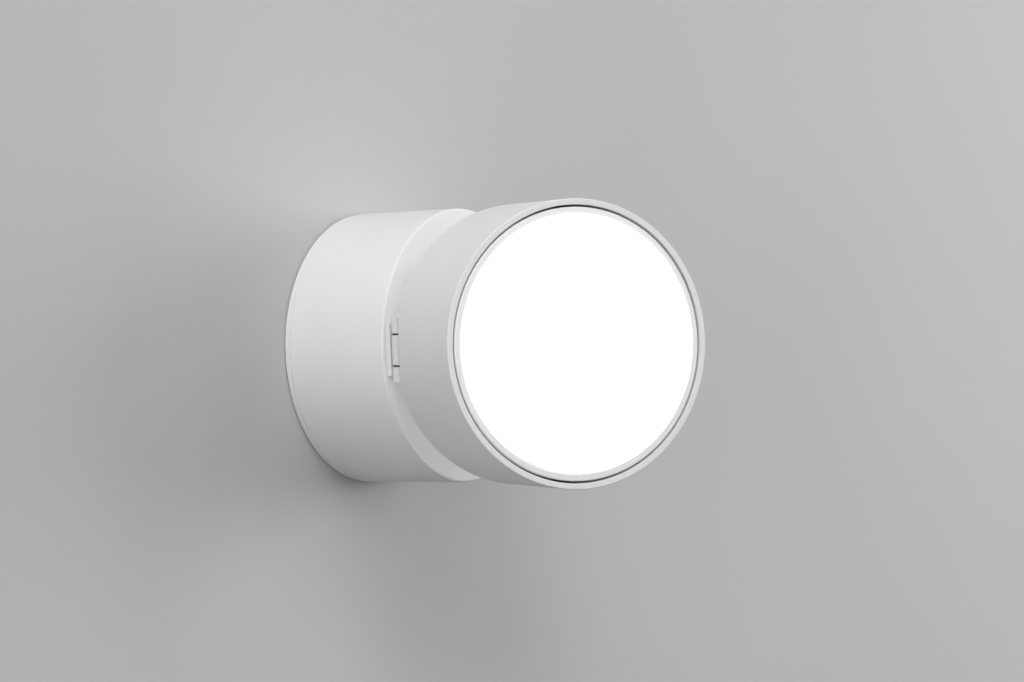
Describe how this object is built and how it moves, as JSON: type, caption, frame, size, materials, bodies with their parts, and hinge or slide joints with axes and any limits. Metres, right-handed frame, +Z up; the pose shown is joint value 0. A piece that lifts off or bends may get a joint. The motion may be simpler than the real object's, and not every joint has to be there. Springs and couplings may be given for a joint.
{
  "type": "led spotlight",
  "caption": "Surface-mounted round spotlight: a drum that turns on its wall plate and a hinged head drum with a flat opal window.",
  "frame": {"origin": "centre of the wall plate's back face, on the axis of the fixed drum", "axes": "-Y points straight out from the wall into the room, +Z is up and is parallel to the hinge pin, the hinge is at the left edge (-X)"},
  "size_m": [0.1172, 0.1305, 0.095],
  "materials": {
    "white_paint": "white matt powder coat on aluminium",
    "zinc_steel": "zinc plated, satin",
    "black_steel": "black oxide",
    "bare_aluminium": "as cast and turned",
    "white_plastic": "fine satin",
    "black_plastic": "matt",
    "grey_rubber": "matt",
    "circuit_board": "solder mask",
    "light_board": "white solder mask on aluminium",
    "ferrite": "matt",
    "thermal_pad": "matt",
    "opal_plastic": "opal, lit from behind"
  },
  "bodies": {
    "wall_mount": {"wall_plate": "white_paint", "pivot_sleeve": "zinc_steel", "disc_spring": "black_steel", "pivot_nut": "zinc_steel"},
    "base_drum": {"swivel_plate": "zinc_steel", "base_shell": "white_paint", "base_grub_screw_lower": "black_steel", "base_grub_screw_upper": "black_steel", "terminal_block": "white_plastic", "earth_screw": "zinc_steel", "driver_case": "white_plastic", "driver_lid": "white_plastic", "driver_screw_1": "zinc_steel", "driver_screw_2": "zinc_steel", "driver_board": "circuit_board", "driver_transformer": "ferrite", "driver_capacitor_1": "black_plastic", "driver_capacitor_2": "black_plastic", "base_grommet": "grey_rubber", "hinge_base_leaf": "white_paint", "base_leaf_screw_1": "zinc_steel", "base_leaf_screw_2": "zinc_steel", "hinge_pin": "zinc_steel"},
    "head": {"hinge_head_leaf": "white_paint", "head_leaf_screw_1": "zinc_steel", "head_leaf_screw_2": "zinc_steel", "hinge_washer_lower": "black_plastic", "hinge_washer_upper": "black_plastic", "head_shell": "white_paint", "head_grommet": "grey_rubber", "heat_sink": "bare_aluminium", "heat_sink_screw_1": "zinc_steel", "heat_sink_screw_2": "zinc_steel", "heat_sink_screw_3": "zinc_steel", "thermal_pad": "thermal_pad", "light_board": "light_board", "board_screw_1": "zinc_steel", "board_screw_2": "zinc_steel", "board_screw_3": "zinc_steel", "board_connector": "white_plastic", "reflector": "white_plastic", "diffuser_frame": "white_plastic", "diffuser": "opal_plastic"}
  },
  "joints": [
    {"name": "base_swivel", "type": "hinge", "parent": "wall_mount", "child": "base_drum", "pos_m": [0, 0, 0], "axis": [0, -1, 0], "range_deg": [-175, 175]},
    {"name": "head_hinge", "type": "hinge", "parent": "base_drum", "child": "head", "pos_m": [-0.0441, -0.04535, 0], "axis": [0, 0, -1], "range_deg": [-29.6, 60.4]}
  ]
}
